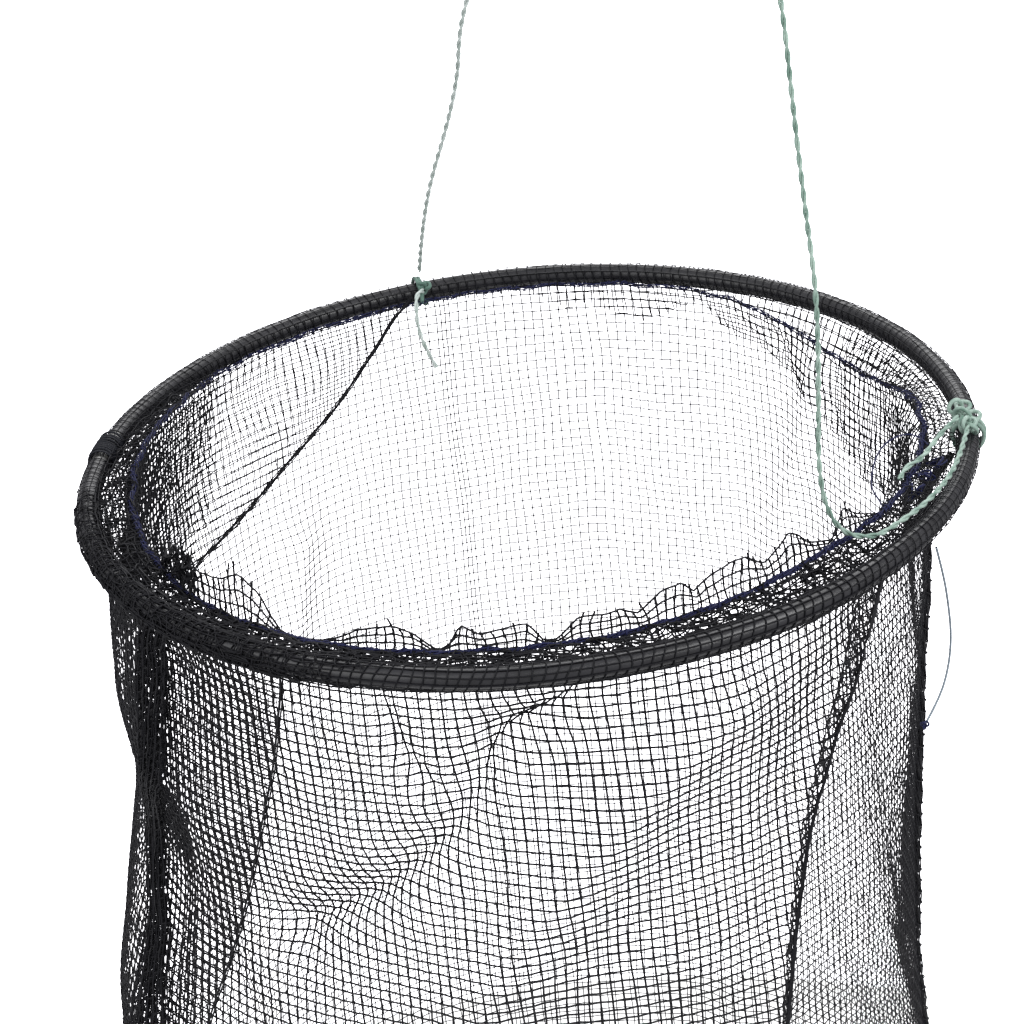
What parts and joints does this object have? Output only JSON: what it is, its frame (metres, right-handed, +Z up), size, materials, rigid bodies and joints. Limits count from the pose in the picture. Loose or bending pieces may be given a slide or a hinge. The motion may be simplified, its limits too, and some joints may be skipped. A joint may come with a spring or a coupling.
{
  "type": "folding crab trap",
  "caption": "Open-mouthed folding trap: dark mesh tube on two sheathed wire hoops, hung by two thin cords, with a mesh base.",
  "frame": {"origin": "the inner top of the hang loop, where a hook bears", "axes": "+Z up along the hanging trap's axis, +X to the right and +Y away when the mouth's two tie points are seen at the back left and at the right"},
  "size_m": [0.3092, 0.309, 0.7311],
  "materials": {
    "steel_wire": "drawn spring steel",
    "ferrule": "crimped steel sleeve",
    "sheath": "smooth dark plastic",
    "netting": "open nylon mesh",
    "cord": "two-strand twisted cord, pale green-grey",
    "stitching": "navy thread",
    "loose_thread": "thin pale thread"
  },
  "bodies": {
    "top_hoop": {"apex_knot": "cord", "flap_edge": "netting", "hang_loop": "cord", "hem_band": "netting", "hem_roll": "netting", "hem_ruffle": "netting", "hem_stitching": "stitching", "inner_flap": "netting", "joint_whipping": "stitching", "lap_fold": "netting", "left_cord": "cord", "left_cord_knot": "cord", "left_cord_tail": "cord", "loose_thread": "loose_thread", "loose_thread_knot": "stitching", "net_overlap": "netting", "right_cord": "cord", "right_cord_knot": "cord", "right_cord_tail": "cord", "seam_end_knot": "stitching", "side_seam": "netting", "top_hoop_ferrule": "ferrule", "top_hoop_sheath": "sheath", "top_hoop_wire": "steel_wire", "wall_net": "netting"},
    "bottom_hoop": {"bottom_hoop_wire": "steel_wire", "bottom_hoop_ferrule": "ferrule", "bottom_hoop_sheath": "sheath", "bottom_hoop_lashing": "netting", "base_net": "netting"}
  },
  "joints": [
    {"name": "bottom_hoop_slide", "type": "slide", "parent": "top_hoop", "child": "bottom_hoop", "axis": [0, 0, 1], "range_m": [0, 0.372], "deforming": ["wall_net", "side_seam", "net_overlap", "lap_fold", "inner_flap", "flap_edge", "loose_thread", "loose_thread_knot"]}
  ]
}
